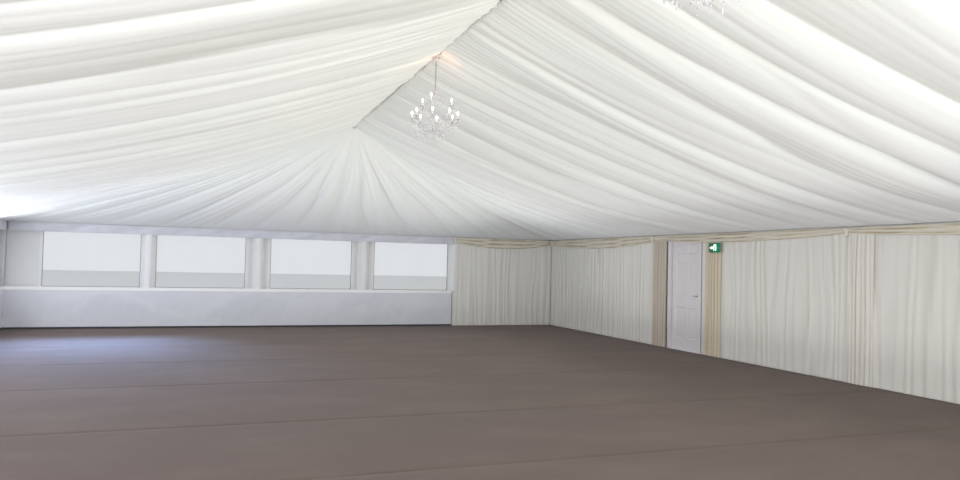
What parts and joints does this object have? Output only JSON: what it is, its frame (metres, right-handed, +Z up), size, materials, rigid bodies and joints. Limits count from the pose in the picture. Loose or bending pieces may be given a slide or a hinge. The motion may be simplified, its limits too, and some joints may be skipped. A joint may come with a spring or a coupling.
{
  "type": "marquee tent",
  "caption": "Hip-ended frame marquee with a pleated ceiling lining, window walls, swagged pelmets, a carpeted floor and a panelled side door.",
  "frame": {"origin": "on the ground under the middle of the floor", "axes": "+Z up, +Y along the ridge to the back hipped end, +X to the wall with the door"},
  "size_m": [12.056, 18.4426, 3.988],
  "materials": {
    "frame_aluminium": "mill-finish extrusion",
    "roof_pvc": "white coated polyester, low sheen",
    "wall_pvc": "white coated polyester",
    "window_film": "clear flexible film",
    "roof_lining": "ivory pleated voile",
    "wall_lining": "cream pleated cloth",
    "pelmet_cloth": "cream ruched cloth",
    "curtain_cloth": "cream gathered cloth",
    "carpet": "grey-brown ribbed carpet",
    "door_paint": "white satin paint on wood",
    "handle_chrome": "polished chrome plate",
    "sign_green": "satin",
    "crystal": "clear cut drops on white scrolled arms"
  },
  "bodies": {
    "tent": {"frame_1_left_leg": "frame_aluminium", "frame_1_right_leg": "frame_aluminium", "frame_2_left_leg": "frame_aluminium", "frame_2_right_leg": "frame_aluminium", "frame_3_left_leg": "frame_aluminium", "frame_3_right_leg": "frame_aluminium", "frame_1_left_rafter": "frame_aluminium", "frame_1_right_rafter": "frame_aluminium", "frame_2_left_rafter": "frame_aluminium", "frame_2_right_rafter": "frame_aluminium", "frame_3_left_rafter": "frame_aluminium", "frame_3_right_rafter": "frame_aluminium", "front_left_hip_rafter": "frame_aluminium", "front_right_hip_rafter": "frame_aluminium", "back_left_hip_rafter": "frame_aluminium", "back_right_hip_rafter": "frame_aluminium", "ridge_beam": "frame_aluminium", "left_eaves_rail": "frame_aluminium", "right_eaves_rail": "frame_aluminium", "front_end_frame": "frame_aluminium", "back_end_frame": "frame_aluminium", "left_roof_cover": "roof_pvc", "right_roof_cover": "roof_pvc", "front_hip_cover": "roof_pvc", "back_hip_cover": "roof_pvc", "left_wall": "wall_pvc", "right_wall_front": "wall_pvc", "right_wall_back": "wall_pvc", "front_wall": "wall_pvc", "back_wall": "wall_pvc", "left_window_film": "window_film", "front_window_film": "window_film", "back_window_film": "window_film", "left_roof_lining": "roof_lining", "right_roof_lining": "roof_lining", "front_hip_lining": "roof_lining", "back_hip_lining": "roof_lining", "right_wall_lining_front": "wall_lining", "right_wall_lining_back": "wall_lining", "back_wall_lining": "wall_lining", "left_pelmet": "pelmet_cloth", "right_pelmet": "pelmet_cloth", "front_pelmet": "pelmet_cloth", "back_pelmet": "pelmet_cloth", "leg_drape_1": "curtain_cloth", "leg_drape_2": "curtain_cloth", "leg_drape_3": "curtain_cloth", "door_curtain": "curtain_cloth", "door_frame": "door_paint", "carpeted_floor": "carpet", "exit_sign": "sign_green", "chandelier_1": "crystal", "chandelier_2": "crystal"},
    "door": {"door_leaf": "door_paint", "door_handle_set": "handle_chrome"}
  },
  "joints": [
    {"name": "door_hinge", "type": "hinge", "parent": "tent", "child": "door", "pos_m": [5.9785, 4.065, 1.025], "axis": [0, 0, 1], "range_deg": [0, 95]}
  ]
}
